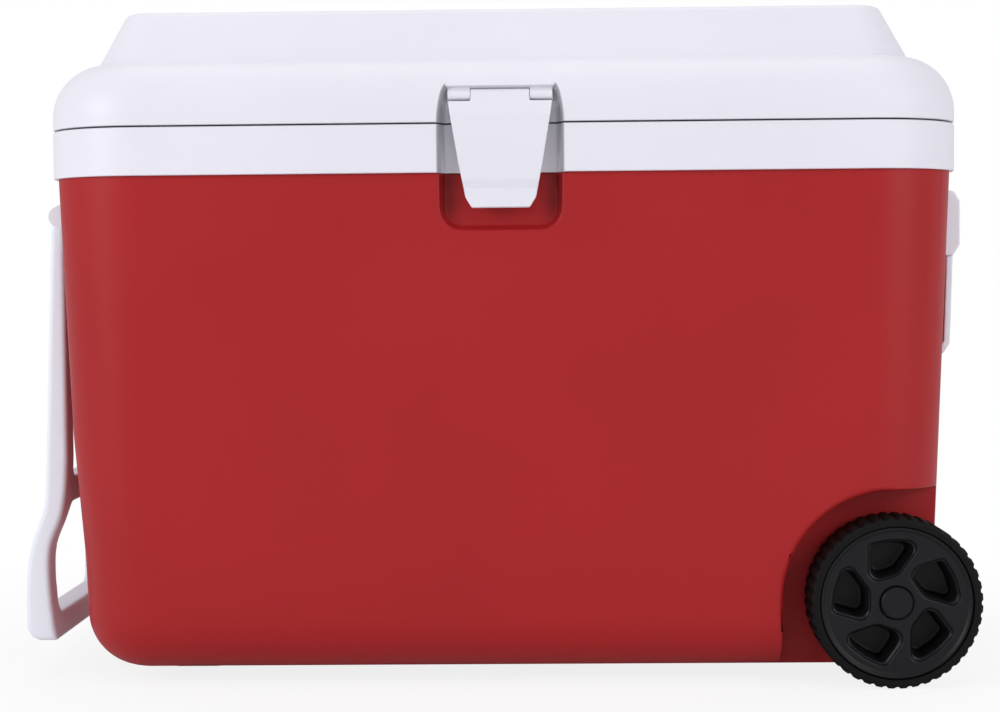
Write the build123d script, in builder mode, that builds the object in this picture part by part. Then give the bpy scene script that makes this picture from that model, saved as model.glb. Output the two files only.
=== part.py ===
from build123d import *
import os
from math import radians, tan

# A wheeled cold box: an insulated tub on two wheels, with a hinged lid.
# Millimetres. +Z is up, the latch is on the -Y side, the wheels are at +X.
# All is drawn about the middle of the box and moved along X when it is saved,
# so the origin is on the floor, below the middle of everything with its handles.

os.makedirs("parts", exist_ok=True)

# ---------------------------------------------------------------- driving dimensions

box_x = 6.0                # middle of the box, from the origin
running_gap = 0.3          # between pieces that move past each other
pin_clearance = 0.05       # radial, in every bore that turns on a pin
hole_clearance = 0.02      # radial, where a pin or screw is held
wall = 3.0                 # outer shell, lid cover

# tub
collar_length = 674.0
collar_depth = 384.0
collar_corner = 70.0
collar_height = 35.0
collar_top_thickness = 4.0
collar_top_round = 1.5
collar_edge_round = 1.0
parting_z = 412.0          # top of the collar
shell_overhang = 2.4       # collar face beyond the shell, at the shell's top edge
draft = 2.4                # degrees, all four shell walls
shell_bottom_z = 10.8
floor_round = 42.0
shell_corner = 66.0
end_step = 3.8             # the handle end's lower part stands this far in
end_step_top_z = 140.0
end_step_low_z = 98.0
arch_flare = 3.0           # slanted edge around the wheel wells
arch_flare_slant = 45.0

# liner
end_rim = 40.0             # from the collar's face to the mouth, at the ends
side_rim = 38.0
mouth_corner = 40.0
liner_wall = 2.5
liner_draft = 2.5
liner_floor_z = 56.0
liner_floor_round = 10.0
hump_cover = 20.0          # insulation between a wheel well and the liner hump
hump_round = 12.0

# wheels
wheel_radius = 62.5
wheel_width = 44.0
wheel_from_end = 52.4      # from the collar's end face to the axle
wheel_inset = 4.0          # from the collar's side face to the wheel's face
arch_clearance = 18.5      # from the tread to the arch
well_gap = 3.0             # from the wheel's back to the well wall
tyre_thickness = 6.5
tyre_shoulder = 3.5
tread_grooves = 44
tread_groove_radius = 2.5
tread_groove_depth = 1.7
axle_radius = 5.0
axle_end_inset = 5.0       # from the wheel's face to the axle's end
axle_chamfer = 0.8
axle_ring_radius = 9.0
push_nut_length = 5.7
sleeve_wall = 3.5
spoke_count = 5
spoke_angle = 25.0
pocket_depth = 8.0
pocket_step = 5.0
pocket_round = 3.0
pocket_taper = 20.0
pocket_corners = [(45, 16), (22, 18.5), (17, 13), (20, -5), (37, -21), (43.5, -18), (46.5, -1)]
web_outer = 4.0            # from the wheel's face to the spokes' face
web_inner = 15.0           # from the wheel's face to the spokes' back
hub_lip = 1.5              # the hub's rim stands in from the tyre's face
rim_lip = 3.0
rim_bevel = 2.5
rim_wall = 4.5
boss_radius = 14.0
cap_radius = 11.6
cap_bevel = 1.2

# latch
latch_top_width = 75.4
latch_bottom_width = 45.2
latch_waist = [(1.5, 14.5), (7.6, 50.5), (12.0, 73.0)]  # in from the top width, down from the pin
latch_lip_round = 2.0
latch_thickness = 2.6
latch_bend_round = 2.4
latch_pin_radius = 1.5
latch_knuckle_radius = 4.2
latch_knuckle_width = 42.6
latch_axis_depth = 7.5     # behind the collar's face
latch_axis_rise = 21.0     # above the parting line
latch_pin_tip = 0.7        # the pin ends this far inside the latch's sides
latch_face_depth = 0.5     # middle of the plate behind the collar's face, under the pin
latch_shoulder = 2.8       # middle of the plate's top edge, out from the pin
latch_crease = 14.5        # from the pin down to the plate's crease
latch_band = (61.0, 68.0)  # from the pin down to the ends of the sunk band above the lip
latch_band_depth = 4.4
latch_lean = 1.0
latch_drop = 81.5          # from the pin down to the lip
lip_out = 2.8
lug_radius = 4.0
lug_width = 16.2
lug_gap = 0.6
lug_web_height = 8.5
lug_web_rise = 5.5
scoop_half_width = 46.4    # at the collar's face
scoop_depth = 13.0
scoop_draft = 24.0
scoop_drop = 79.0          # from the parting line to the recess's lower edge
scoop_corner = 18.0
scoop_lid_half_width = 40.0
scoop_lid_rise = 29.5      # top edge above the parting line
catch_drop = 29.0          # from the parting line to the catch ridge
catch_height = 3.0
catch_depth = 3.0
catch_width = 28.0
nose_height = 6.0
nose_gap = 1.0

# lid
parting_gap = 1.2
ledge_rise = 50.0          # above the parting line
lid_round = 40.0
lid_edge_round = 1.0
plateau_rise = 90.0
plateau_end_inset = 31.0
plateau_side_inset = 42.5
plateau_slope = 29.0       # degrees from vertical
plateau_corner = 44.0
plateau_edge_round = 6.0
plateau_root = 5.0         # how far the plateau starts below the ledge
panel_depth = 2.0
panel_inset = 16.0
panel_corner = 16.0
panel_taper = 30.0
boss_depth = 24.0          # of the flat bosses behind the lid's hinge leaves
boss_margin = 4.0
plug_gap = 3.0
plug_depth = 14.0
panel_thickness = 3.0
plug_round = 4.0
plug_draft = 5.0
gasket_inset = 5.0         # from the liner's mouth
gasket_width = 8.0

# hinges
hinge_from_end = 147.0     # from the collar's end face to a hinge's middle
hinge_width = 70.0
hinge_knuckles = 5
hinge_leaf = 3.0
hinge_leaf_height = 22.0
hinge_leaf_round = 4.0
hinge_screw_step = 24.0
hinge_barrel_radius = 4.6
hinge_plate_gap = 2.0      # from the barrel to the leaf's plate
hinge_pin_radius = 2.0
hinge_pin_head = 1.4
hinge_axis_gap = 0.6       # barrel to collar
screw_radius = 1.8
screw_head_radius = 3.6
screw_head_height = 2.0
screw_head_round = 0.9
screw_length = 9.0

# tow handle, at -X
tow_axis_out = 4.0         # beyond the end wall
tow_axis_drop = 62.0       # below the parting line
tow_inset = 75.0           # from the collar's side face to the handle's arm
tow_arm_width = 24.0
tow_eye_radius = 6.8
tow_pin_radius = 3.0
tow_pin_tip = 0.7
tow_ear = 4.0
tow_ear_radius = 7.5
tow_ear_root = 14.0
tow_pocket_depth = 6.0
tow_pocket_gap = 2.0
tow_pocket_height = 50.0
tow_pocket_round = 6.0
tow_plate = 2.4
tow_plate_margin = 1.5
tow_plate_gap = 0.5
tow_plate_round = 5.5
tow_screw_step = 17.0      # above and below the pivot
tow_grip_bottom_z = 27.0
tow_grip_height = 18.0
tow_bar_rise = 103.5       # from the grip's underside to the middle bar's
tow_bar_height = 20.5
tow_corner = 12.0
tow_inner_out = 3.3        # the arm's inner face, towards the wall from the pivot
tow_grip_round = 12.0
tow_edge_round = 3.0
# out from the pivot's line, up from the grip's underside
tow_outer_line = [(14.8, 111.0), (23.2, 82.0), (29.5, 54.5), (30.7, 30.0)]
tow_palm_line = [(6.9, 0.0), (10.4, 24.0), (12.2, 51.0)]
tow_inner_line = [(12.2, 51.0), (10.3, 74.0), (2.4, 94.0), (-1.0, 111.0), (-3.0, 140.0)]

# bail, at +X
bail_axis_drop = 72.0      # below the parting line
bail_inset = 125.0         # from the collar's side face to a bracket
bail_axis_out = 12.0       # beyond the end wall
bail_cheek = 5.0
bail_arm_width = 9.0
bail_thickness = 5.0
bail_pin_radius = 2.5
bail_drop = 103.0          # from the pivot down to the grip's lower edge
bail_grip_height = 38.0
bail_arm_round = 14.0
bail_bend_round = 5.0
bail_eye_radius = 6.0
bail_corner_round = 10.0
# out from the pivot, down from it
bail_arm_line = [(0.5, 0.0), (3.0, 12.0)]
# out from the pivot, up from the grip's lower edge
bail_grip_line = [(0.2, 11.0), (-4.6, 2.6)]
bail_screw_step = 18.0
bracket_out = 22.6
bracket_base = 3.5
bracket_rise = 25.5        # above the pivot
bracket_fall = 25.5        # below it
bracket_shoulder = (7.0, 8.0)
bracket_heel = (5.0, 1.0)
bracket_chin = 9.0
bracket_round = 5.0
bracket_edge_round = 1.2

# drain, at -X
drain_z = 72.0
drain_bore = 7.0
drain_tube = 10.0
drain_flange = 14.0
drain_flange_thickness = 3.0
drain_gasket_thickness = 2.0
drain_gasket_margin = 0.5
drain_edge_round = 1.0
drain_nut_height = 6.0
drain_nut_radius = 13.2
drain_tube_end = 1.0       # the tube stands out of its nut
drain_plug_radius = 12.0
drain_plug_height = 5.0
drain_plug_round = 1.5
drain_plug_length = 20.0

# feet
foot_from_end = 95.0
foot_inset = 130.0
foot_length = 44.0
foot_width = 36.0
foot_corner = 8.0
foot_spread = 8.0          # degrees
foot_pad = 3.0
foot_pad_margin = 2.0
foot_pad_edge = 0.8

far = 500.0                # long enough to cut right through

# ---------------------------------------------------------------- derived sizes

collar_end_x = collar_length / 2
collar_side_y = collar_depth / 2
collar_bottom_z = parting_z - collar_height
shell_top_z = parting_z - collar_top_thickness
shell_length = collar_length - 2 * shell_overhang
shell_depth = collar_depth - 2 * shell_overhang
mouth_length = collar_length - 2 * end_rim
mouth_depth = collar_depth - 2 * side_rim
lid_bottom_z = parting_z + parting_gap
ledge_z = parting_z + ledge_rise
lid_top_z = parting_z + plateau_rise
wheel_x = collar_end_x - wheel_from_end
wheel_outer_y = collar_side_y - wheel_inset
well_wall_y = wheel_outer_y - wheel_width - well_gap
axle_z = wheel_radius
axle_end_y = wheel_outer_y - axle_end_inset
arch_radius = wheel_radius + arch_clearance
scoop_floor_y = -(collar_side_y - scoop_depth)
scoop_bottom_z = parting_z - scoop_drop
catch_z = parting_z - catch_drop
latch_axis_y = -(collar_side_y - latch_axis_depth)
latch_axis_z = parting_z + latch_axis_rise
latch_face_y = -(collar_side_y - latch_face_depth)
latch_pin_length = latch_top_width - 2 * latch_pin_tip
hinge_x = collar_end_x - hinge_from_end
hinge_axis_y = collar_side_y + hinge_axis_gap + hinge_barrel_radius
hinge_axis_z = parting_z
tow_half_width = collar_side_y - tow_inset
tow_axis_z = parting_z - tow_axis_drop
tow_grip_top_z = tow_grip_bottom_z + tow_grip_height
tow_bar_bottom_z = tow_grip_bottom_z + tow_bar_rise
tow_bar_top_z = tow_bar_bottom_z + tow_bar_height
tow_ears_width = tow_arm_width + 2 * (running_gap + tow_ear)
tow_pin_length = tow_ears_width - 2 * tow_pin_tip
bail_half_width = collar_side_y - bail_inset
bail_axis_z = parting_z - bail_axis_drop
bail_bottom_z = bail_axis_z - bail_drop
bracket_top_z = bail_axis_z + bracket_rise
bracket_bottom_z = bail_axis_z - bracket_fall
bail_bracket_width = 2 * bail_cheek + bail_arm_width + 2 * running_gap
bail_pin_length = bail_bracket_width - 2 * hole_clearance
foot_x = -(collar_end_x - foot_from_end)
foot_y = collar_side_y - foot_inset


def end_wall(z):
    """Half length of the outer shell at height z."""
    return shell_length / 2 - (shell_top_z - z) * tan(radians(draft))


def liner_end_wall(z):
    """Half length of the liner's inside at height z."""
    return mouth_length / 2 - (parting_z - z) * tan(radians(liner_draft))


# ---------------------------------------------------------------- shared forms


def drafted_block(length, depth, corner, top, bottom, angle, round_radius):
    """Rounded block that narrows downwards, with a rounded floor."""
    with BuildPart() as block:
        with BuildSketch(Plane.XY.offset(top)):
            RectangleRounded(length, depth, corner)
        extrude(amount=bottom - top, taper=angle)
        fillet(block.faces().sort_by(Axis.Z)[0].edges(), round_radius)
    return block.part


def shell_form(inset):
    """The shell's outside, or with an inset its inside."""
    return drafted_block(
        shell_length - 2 * inset,
        shell_depth - 2 * inset,
        shell_corner - inset,
        shell_top_z,
        shell_bottom_z + inset,
        draft,
        floor_round - inset,
    )


def arch(grow):
    """Outline of a wheel well from the side, open below and towards the end."""
    radius = arch_radius + grow
    left, top = wheel_x - radius, axle_z + radius
    with BuildSketch() as outline:
        with BuildLine():
            Line((left, -far), (left, axle_z))
            CenterArc((wheel_x, axle_z), radius, 180, -90)
            Polyline((wheel_x, top), (far, top), (far, -far), (left, -far))
        make_face()
    return outline.sketch


def wheel_wells(grow):
    """Both wheel wells, run out through the body's end."""
    with BuildPart() as wells:
        with BuildSketch(Plane.XZ.offset(well_wall_y - grow)):
            add(arch(grow))
        extrude(amount=far)
        mirror(about=Plane.XZ)
    return wells.part


def arch_flares():
    """Slanted edges of the wheel wells, set on the drafted side walls."""
    wall_y = shell_depth / 2 - shell_top_z * tan(radians(draft))
    side_wall = Plane((0, -wall_y, 0), x_dir=(1, 0, 0), z_dir=(0, -1, -tan(radians(draft))))
    with BuildPart() as flares:
        with BuildSketch(side_wall.offset(arch_flare)):
            add(arch(2 * arch_flare))
        extrude(amount=-3 * arch_flare, taper=arch_flare_slant)
        mirror(about=Plane.XZ)
    return flares.part


def set_back(grow):
    """What the handle end's lower part leaves out, with a slanting step above it."""
    high, low = end_step_top_z, end_step_low_z
    with BuildPart() as step:
        with BuildSketch(Plane.XZ):
            with BuildLine():
                Polyline(
                    (-far, high + grow),
                    (grow - end_wall(high), high + grow),
                    (grow + end_step - end_wall(low), low + grow),
                    (shell_corner + end_step - shell_length / 2, low + grow),
                    (shell_corner + end_step - shell_length / 2, 0),
                    (-far, 0),
                    close=True,
                )
            make_face()
        extrude(amount=far, both=True)
        with Locations((end_step, 0, 0)):
            add(shell_form(grow), mode=Mode.SUBTRACT)
    return step.part


def latch_scoop(grow):
    """Drafted recess in the front of the tub behind the latch, open at its top."""
    mouth = collar_side_y + scoop_depth
    spread = scoop_depth * tan(radians(scoop_draft)) + grow
    half_width, bottom = scoop_half_width + spread, scoop_bottom_z - spread
    with BuildPart() as scoop:
        with BuildSketch(Plane.XZ.offset(mouth)) as outline:
            with Locations((0, (bottom + ledge_z) / 2)):
                Rectangle(2 * half_width, ledge_z - bottom)
            fillet(outline.vertices().group_by(Axis.Y)[0], scoop_corner + spread)
        extrude(amount=-(2 * scoop_depth + grow), taper=scoop_draft)
    return scoop.part


def lid_scoop(grow):
    """The same recess in the lid's front, drawn in towards its top."""
    mouth = collar_side_y + scoop_depth
    spread = scoop_depth * tan(radians(scoop_draft)) + grow
    low = (scoop_half_width + spread, parting_z)
    high = (scoop_lid_half_width + spread, parting_z + scoop_lid_rise + spread)
    across, rise = low[0] - high[0], high[1] - low[1]
    bend = (across**2 + rise**2) / (2 * across)
    with BuildPart() as scoop:
        with BuildSketch(Plane.XZ.offset(mouth)):
            with BuildLine():
                Line((0, high[1]), high)
                RadiusArc(high, low, bend)
                Polyline(low, (low[0], scoop_bottom_z), (0, scoop_bottom_z))
                mirror(about=Plane.YZ)
            make_face()
        extrude(amount=-(2 * scoop_depth + grow), taper=scoop_draft)
    return scoop.part


def above(form, z):
    """What of a form lies above height z."""
    with BuildPart() as upper:
        add(form)
        split(bisect_by=Plane.XY.offset(z), keep=Keep.TOP)
    return upper.part


def between(form, low, high):
    """What of a form lies between two heights."""
    with BuildPart() as slab:
        add(form)
        split(bisect_by=Plane.XY.offset(low), keep=Keep.TOP)
        split(bisect_by=Plane.XY.offset(high), keep=Keep.BOTTOM)
    return slab.part


def liner_humps(shrink):
    """Insulated humps over the wheel wells, and the low one over the axle."""
    near = wheel_x - arch_radius - hump_cover + shrink
    high = axle_z + arch_radius + hump_cover - shrink
    side = well_wall_y - wall - hump_cover + shrink
    axle_near = wheel_x - axle_radius - sleeve_wall - hump_cover + shrink
    axle_high = axle_z + axle_radius + sleeve_wall + hump_cover - shrink
    with BuildPart() as humps:
        with BuildSketch(Plane.YZ.offset(near)):
            with Locations((-side - far / 2, high - far / 2), (side + far / 2, high - far / 2)):
                Rectangle(far, far)
        extrude(amount=far)
        corner_edges = humps.edges().filter_by(lambda e: abs(e.center().Y) < side + 1)
        fillet(corner_edges.filter_by(Axis.X).group_by(Axis.Z)[-1], hump_round - shrink)
        with BuildSketch(Plane.XZ):
            with Locations((axle_near + far / 2, axle_high - far / 2)):
                Rectangle(far, far)
        extrude(amount=well_wall_y, both=True)
    return humps.part


def liner_form(grow):
    """The liner's inside, or grown by its wall its outside."""
    block = drafted_block(
        mouth_length + 2 * grow,
        mouth_depth + 2 * grow,
        mouth_corner + grow,
        parting_z,
        liner_floor_z - grow,
        liner_draft,
        liner_floor_round + grow,
    )
    with BuildPart() as form:
        add(block)
        add(liner_humps(grow), mode=Mode.SUBTRACT)
    return form.part


def tow_pockets(grow):
    """Moulded pockets in the end wall that the tow brackets stand in."""
    floor = end_wall(tow_axis_z) - tow_pocket_depth - grow
    middle = tow_half_width - tow_arm_width / 2
    with BuildPart() as pockets:
        with BuildSketch(Plane.YZ.offset(-floor)):
            with Locations((-middle, tow_axis_z), (middle, tow_axis_z)):
                RectangleRounded(
                    tow_ears_width + 2 * (tow_pocket_gap + grow),
                    tow_pocket_height + 2 * grow,
                    tow_pocket_round + grow,
                )
        extrude(amount=-far)
    return pockets.part


def screw_set(plane, places, grip):
    """Pan-head screws through a plate of thickness grip that lies on a plane."""
    with BuildPart() as screws:
        with BuildSketch(plane.offset(grip)):
            with Locations(*places):
                Circle(screw_head_radius)
        extrude(amount=screw_head_height)
        heads = screws.faces().group_by(Axis(plane.origin, plane.z_dir))[-1]
        fillet(heads.edges(), screw_head_round)
        with BuildSketch(plane.offset(grip)):
            with Locations(*places):
                Circle(screw_radius)
        extrude(amount=-screw_length)
    return screws.part


def screw_holes(plane, places, grip):
    """Holes for the same screws, through whatever the screws reach."""
    with BuildPart() as holes:
        with BuildSketch(plane.offset(grip)):
            with Locations(*places):
                Circle(screw_radius + hole_clearance)
        extrude(amount=-screw_length)
    return holes.part


def save(name, piece):
    placed = piece.part.moved(Location((box_x, 0, 0)))
    placed.label = name
    export_step(placed, f"parts/{name}.step")


# ---------------------------------------------------------------- where screws go

back = Plane((0, collar_side_y, hinge_axis_z), x_dir=(-1, 0, 0), z_dir=(0, 1, 0))
hinge_plate_start = hinge_barrel_radius + hinge_plate_gap
hinge_screw_up = hinge_plate_start + hinge_leaf_height / 2
hinge_screw_steps = (-hinge_screw_step, 0, hinge_screw_step)
hinge_screw_x = [side * hinge_x + step for side in (-1, 1) for step in hinge_screw_steps]
body_hinge_screws = [(x, -hinge_screw_up) for x in hinge_screw_x]
lid_hinge_screws = [(x, hinge_screw_up) for x in hinge_screw_x]

left_end = Plane(
    (-end_wall(tow_axis_z) + tow_pocket_depth, 0, tow_axis_z), x_dir=(0, -1, 0), z_dir=(-1, 0, 0)
)
tow_middle_y = tow_half_width - tow_arm_width / 2
tow_screws_front = [(tow_middle_y, -tow_screw_step), (tow_middle_y, tow_screw_step)]
tow_screws_rear = [(-tow_middle_y, -tow_screw_step), (-tow_middle_y, tow_screw_step)]

bail_middle_y = bail_half_width - bail_bracket_width / 2
right_end = Plane(
    (end_wall(bracket_top_z) + bracket_base, 0, bail_axis_z), x_dir=(0, 1, 0), z_dir=(1, 0, 0)
)
bail_screws_front = [(-bail_middle_y, -bail_screw_step), (-bail_middle_y, bail_screw_step)]
bail_screws_rear = [(bail_middle_y, -bail_screw_step), (bail_middle_y, bail_screw_step)]

# ---------------------------------------------------------------- outer shell

scoop = latch_scoop(0)
collar_fit = wall + running_gap

with BuildPart() as axle_bore:
    with BuildSketch(Plane.XZ):
        with Locations((wheel_x, axle_z)):
            Circle(axle_radius + pin_clearance)
    extrude(amount=wheel_outer_y, both=True)

with BuildPart() as drain_hole:
    with BuildSketch(Plane.YZ):
        with Locations((0, drain_z)):
            Circle(drain_tube + hole_clearance)
    extrude(amount=-far)

shell_room = shell_form(wall)
with BuildPart() as shell_cavity:
    add(shell_room)
    add(set_back(wall), mode=Mode.SUBTRACT)
    add(wheel_wells(wall), mode=Mode.SUBTRACT)
    add(latch_scoop(wall), mode=Mode.SUBTRACT)
    add(above(latch_scoop(collar_fit + wall), collar_bottom_z - wall), mode=Mode.SUBTRACT)
    add(tow_pockets(wall), mode=Mode.SUBTRACT)

with BuildPart() as shell_blank:
    add(shell_form(0))
    add(set_back(0), mode=Mode.SUBTRACT)
    add(wheel_wells(0), mode=Mode.SUBTRACT)
    add(arch_flares(), mode=Mode.SUBTRACT)
    add(scoop, mode=Mode.SUBTRACT)

with BuildPart() as outer_shell:
    add(shell_blank.part)
    # feet under the handle end
    with BuildSketch(Plane.XY.offset(foot_pad)):
        with Locations((foot_x, -foot_y), (foot_x, foot_y)):
            RectangleRounded(foot_length, foot_width, foot_corner)
    extrude(amount=shell_bottom_z + wall - foot_pad, taper=-foot_spread)
    add(shell_cavity.part, mode=Mode.SUBTRACT)
    add(above(latch_scoop(collar_fit), collar_bottom_z), mode=Mode.SUBTRACT)
    add(tow_pockets(0), mode=Mode.SUBTRACT)
    add(axle_bore.part, mode=Mode.SUBTRACT)
    add(drain_hole.part, mode=Mode.SUBTRACT)
    add(screw_holes(back, body_hinge_screws, hinge_leaf), mode=Mode.SUBTRACT)
    add(screw_holes(left_end, tow_screws_front + tow_screws_rear, tow_plate), mode=Mode.SUBTRACT)
    add(screw_holes(right_end, bail_screws_front + bail_screws_rear, 0), mode=Mode.SUBTRACT)
save("outer_shell", outer_shell)

# ---------------------------------------------------------------- liner and collar

liner_room = liner_form(0)
collar_scoop = between(latch_scoop(wall), collar_bottom_z, parting_z)
with BuildPart() as collar_blank:
    with BuildSketch(Plane.XY.offset(collar_bottom_z)):
        RectangleRounded(collar_length, collar_depth, collar_corner)
    extrude(amount=collar_height)
    fillet(collar_blank.faces().sort_by(Axis.Z)[-1].edges(), collar_top_round)
    fillet(collar_blank.faces().sort_by(Axis.Z)[0].edges(), collar_edge_round)

with BuildPart() as scoop_wall:
    add(collar_scoop)
    add(collar_blank.part, mode=Mode.INTERSECT)

with BuildPart() as inner_liner:
    add(collar_blank.part)
    add(shell_form(-running_gap), mode=Mode.SUBTRACT)
    add(scoop_wall.part)
    add(scoop, mode=Mode.SUBTRACT)
    # catch ridge that the latch's nose snaps under
    with BuildSketch(Plane.YZ):
        with BuildLine():
            Polyline(
                (scoop_floor_y + wall, catch_z - catch_height),
                (scoop_floor_y, catch_z - catch_height),
                (scoop_floor_y - catch_depth, catch_z - catch_height / 2),
                (scoop_floor_y - catch_depth, catch_z + catch_height / 2),
                (scoop_floor_y, catch_z + catch_height),
                (scoop_floor_y + wall, catch_z + catch_height),
                close=True,
            )
        make_face()
    extrude(amount=catch_width / 2, both=True)
    add(liner_form(liner_wall))
    add(liner_room, mode=Mode.SUBTRACT)
    add(drain_hole.part, mode=Mode.SUBTRACT)
    add(screw_holes(back, body_hinge_screws, hinge_leaf), mode=Mode.SUBTRACT)
save("inner_liner", inner_liner)

# ---------------------------------------------------------------- axle

with BuildPart() as axle_sleeve:
    with BuildSketch(Plane.XZ):
        with Locations((wheel_x, axle_z)):
            Circle(axle_radius + sleeve_wall)
            Circle(axle_radius + pin_clearance, mode=Mode.SUBTRACT)
    extrude(amount=well_wall_y - wall, both=True)
save("axle_sleeve", axle_sleeve)

with BuildPart() as wheel_axle:
    with BuildSketch(Plane.XZ):
        with Locations((wheel_x, axle_z)):
            Circle(axle_radius)
    extrude(amount=axle_end_y, both=True)
    chamfer(wheel_axle.faces().filter_by(Axis.Y).edges(), axle_chamfer)
save("wheel_axle", wheel_axle)

# ---------------------------------------------------------------- insulation

with BuildPart() as shell_foam:
    add(shell_cavity.part)
    add(liner_form(liner_wall), mode=Mode.SUBTRACT)
    with BuildSketch(Plane.XZ):
        with Locations((wheel_x, axle_z)):
            Circle(axle_radius + sleeve_wall)
    extrude(amount=well_wall_y - wall, both=True, mode=Mode.SUBTRACT)
    add(drain_hole.part, mode=Mode.SUBTRACT)
    add(screw_holes(back, body_hinge_screws, hinge_leaf), mode=Mode.SUBTRACT)
    add(screw_holes(left_end, tow_screws_front + tow_screws_rear, tow_plate), mode=Mode.SUBTRACT)
    add(screw_holes(right_end, bail_screws_front + bail_screws_rear, 0), mode=Mode.SUBTRACT)
save("shell_foam", shell_foam)

# ---------------------------------------------------------------- lid


def lid_form(inset):
    """The lid's outside, or with an inset its inside: a rounded ledge with a plateau."""
    spread = plateau_root * tan(radians(plateau_slope)) - inset
    foot_length = collar_length - 2 * plateau_end_inset + 2 * spread
    foot_depth = collar_depth - 2 * plateau_side_inset + 2 * spread
    with BuildPart() as form:
        with BuildSketch(Plane.XY.offset(lid_bottom_z)):
            RectangleRounded(
                collar_length - 2 * inset, collar_depth - 2 * inset, collar_corner - inset
            )
        extrude(amount=ledge_z - inset - lid_bottom_z)
        fillet(form.faces().sort_by(Axis.Z)[-1].edges(), lid_round - inset)
        if not inset:
            fillet(form.faces().sort_by(Axis.Z)[0].edges(), lid_edge_round)
        with BuildSketch(Plane.XY.offset(ledge_z - inset - plateau_root)):
            RectangleRounded(foot_length, foot_depth, plateau_corner + spread)
        extrude(amount=lid_top_z - ledge_z + plateau_root, taper=plateau_slope)
        fillet(form.faces().sort_by(Axis.Z)[-1].edges(), plateau_edge_round)
    return form.part


def lid_panel(grow):
    """Shallow panel sunk in the plateau's top."""
    slope_run = (plateau_rise - ledge_rise) * tan(radians(plateau_slope))
    end_inset = plateau_end_inset + slope_run + panel_inset
    side_inset = plateau_side_inset + slope_run + panel_inset
    with BuildPart() as panel:
        with BuildSketch(Plane.XY.offset(lid_top_z)):
            RectangleRounded(
                collar_length - 2 * end_inset + 2 * grow,
                collar_depth - 2 * side_inset + 2 * grow,
                panel_corner + grow,
            )
        extrude(amount=-(panel_depth + grow), taper=panel_taper)
    return panel.part


with BuildPart() as lid_room:
    add(lid_form(wall))
    add(lid_scoop(wall), mode=Mode.SUBTRACT)
    add(lid_panel(wall), mode=Mode.SUBTRACT)

with BuildPart() as lid_cover:
    add(lid_form(0))
    # flat bosses that the hinge leaves are screwed to
    with BuildSketch(Plane.XY.offset(lid_bottom_z)):
        with Locations((-hinge_x, collar_side_y), (hinge_x, collar_side_y)):
            Rectangle(
                hinge_width + 2 * boss_margin, boss_depth, align=(Align.CENTER, Align.MAX)
            )
    extrude(amount=hinge_plate_start + hinge_leaf_height + boss_margin)
    add(lid_scoop(0), mode=Mode.SUBTRACT)
    add(lid_panel(0), mode=Mode.SUBTRACT)
    # lugs that carry the latch's pin
    with BuildSketch(Plane.YZ.offset(latch_knuckle_width / 2 + running_gap)):
        with Locations((latch_axis_y, latch_axis_z)):
            Circle(lug_radius)
        with Locations((latch_axis_y, latch_axis_z + lug_web_rise)):
            Rectangle(
                scoop_floor_y + wall - latch_axis_y, lug_web_height, align=(Align.MIN, Align.MAX)
            )
    lug = extrude(amount=lug_width)
    mirror(lug, about=Plane.YZ)
    add(lid_room.part, mode=Mode.SUBTRACT)
    with BuildSketch(Plane.YZ):
        with Locations((latch_axis_y, latch_axis_z)):
            Circle(latch_pin_radius + hole_clearance)
    extrude(amount=latch_pin_length / 2, both=True, mode=Mode.SUBTRACT)
    add(screw_holes(back, lid_hinge_screws, hinge_leaf), mode=Mode.SUBTRACT)
save("lid_cover", lid_cover)


def lid_plug(inset):
    """The lid's plug in the liner's mouth, or with an inset its hollow."""
    return drafted_block(
        mouth_length - 2 * plug_gap - 2 * inset,
        mouth_depth - 2 * plug_gap - 2 * inset,
        mouth_corner - plug_gap - inset,
        lid_bottom_z + panel_thickness,
        parting_z - plug_depth + inset,
        plug_draft,
        plug_round,
    )


with BuildPart() as lid_inner_panel:
    add(between(lid_room.part, lid_bottom_z, lid_bottom_z + panel_thickness))
    add(lid_plug(0))
    add(lid_plug(liner_wall), mode=Mode.SUBTRACT)
save("lid_inner_panel", lid_inner_panel)

with BuildPart() as lid_foam:
    add(above(lid_room.part, lid_bottom_z + panel_thickness))
    add(lid_plug(liner_wall))
    add(screw_holes(back, lid_hinge_screws, hinge_leaf), mode=Mode.SUBTRACT)
save("lid_foam", lid_foam)

with BuildPart() as lid_gasket:
    with BuildSketch(Plane.XY.offset(lid_bottom_z)):
        for edge, mode in ((gasket_inset + gasket_width, Mode.ADD), (gasket_inset, Mode.SUBTRACT)):
            RectangleRounded(
                mouth_length + 2 * edge, mouth_depth + 2 * edge, mouth_corner + edge, mode=mode
            )
    extrude(amount=-(parting_gap - running_gap))
save("lid_gasket", lid_gasket)

# ---------------------------------------------------------------- latch

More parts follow.
